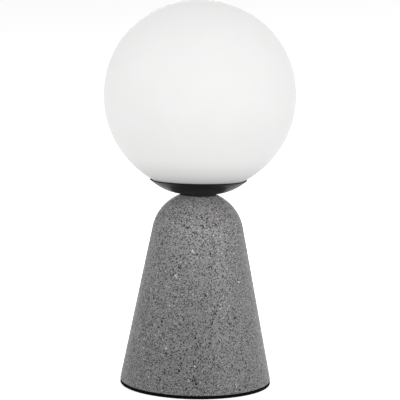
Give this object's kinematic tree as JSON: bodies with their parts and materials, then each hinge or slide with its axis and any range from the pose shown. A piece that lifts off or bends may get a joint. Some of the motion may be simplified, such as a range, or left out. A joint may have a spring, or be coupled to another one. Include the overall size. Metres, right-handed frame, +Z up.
{
  "type": "table lamp with shade",
  "caption": "Table lamp with an opal glass globe in a shallow dark saucer, on a hollow domed cone of cast terrazzo.",
  "frame": {"origin": "on the floor, under the middle of the foot pad", "axes": "+Z up along the lamp's axis, +Y out of the cable gland in the back, the front faces -Y"},
  "size_m": [0.15, 0.15, 0.3019],
  "materials": {
    "pad_foam": "matte black foam",
    "terrazzo": "honed grey terrazzo with fine dark and pale grains",
    "zinc_plate": "zinc plated",
    "zinc_steel": "zinc plated",
    "turned_brass": "turned",
    "black_plastic": "fine matte",
    "black_rubber": "matte",
    "white_plastic": "satin",
    "brown_insulation": "smooth",
    "blue_insulation": "smooth",
    "black_paint": "satin black powder coat",
    "white_paint": "satin white",
    "seal_silicone": "translucent silicone",
    "spring_steel": "bright rolled",
    "white_ceramic": "glazed",
    "contact_metal": "nickel plated",
    "opal_glass": "acid-etched opal white",
    "bulb_plastic": "moulded",
    "bulb_clear": "clear",
    "board_white": "white solder mask",
    "phosphor": "yellow phosphor"
  },
  "bodies": {
    "base": {"base_pad": "pad_foam", "terrazzo_base": "terrazzo", "bottom_plate": "zinc_plate", "plate_screws": "zinc_steel", "plate_inserts": "turned_brass", "cable_gland": "black_plastic", "gland_nut": "black_plastic", "gland_seal": "black_rubber", "terminal_block": "white_plastic", "terminal_clamps": "turned_brass", "terminal_screws": "zinc_steel", "block_screw": "zinc_steel", "lead_live": "brown_insulation", "lead_neutral": "blue_insulation", "threaded_tube": "zinc_steel", "clamp_washer": "zinc_plate", "lower_lock_washer": "zinc_steel", "lower_nut": "turned_brass", "neck_gasket": "black_rubber", "saucer": "black_paint", "saucer_washer": "zinc_plate", "saucer_nut": "turned_brass", "seat_gasket": "seal_silicone", "gallery_spider": "zinc_plate", "clip_springs": "spring_steel", "clip_rivets": "zinc_steel", "gallery_lock_washer": "zinc_steel", "gallery_nut": "turned_brass", "stem_sleeve": "white_paint", "tube_bushes": "white_plastic", "holder_cup": "white_paint", "holder_bracket": "zinc_plate", "holder_nut": "turned_brass", "holder_body": "white_ceramic", "holder_screws": "zinc_steel", "holder_contacts": "contact_metal"},
    "globe": {"glass_globe": "opal_glass", "edge_seal": "seal_silicone"},
    "bulb": {"bulb_base": "bulb_plastic", "bulb_pins": "contact_metal", "bulb_envelope": "bulb_clear", "led_board": "board_white", "led_chips": "phosphor"}
  },
  "joints": [
    {"name": "globe_lift", "type": "slide", "parent": "base", "child": "globe", "axis": [0, 0, 1], "range_m": [0, 0.115], "deforming": ["clip_springs"]},
    {"name": "bulb_pull", "type": "slide", "parent": "base", "child": "bulb", "axis": [0, 0, 1], "range_m": [0, 0.03]}
  ]
}
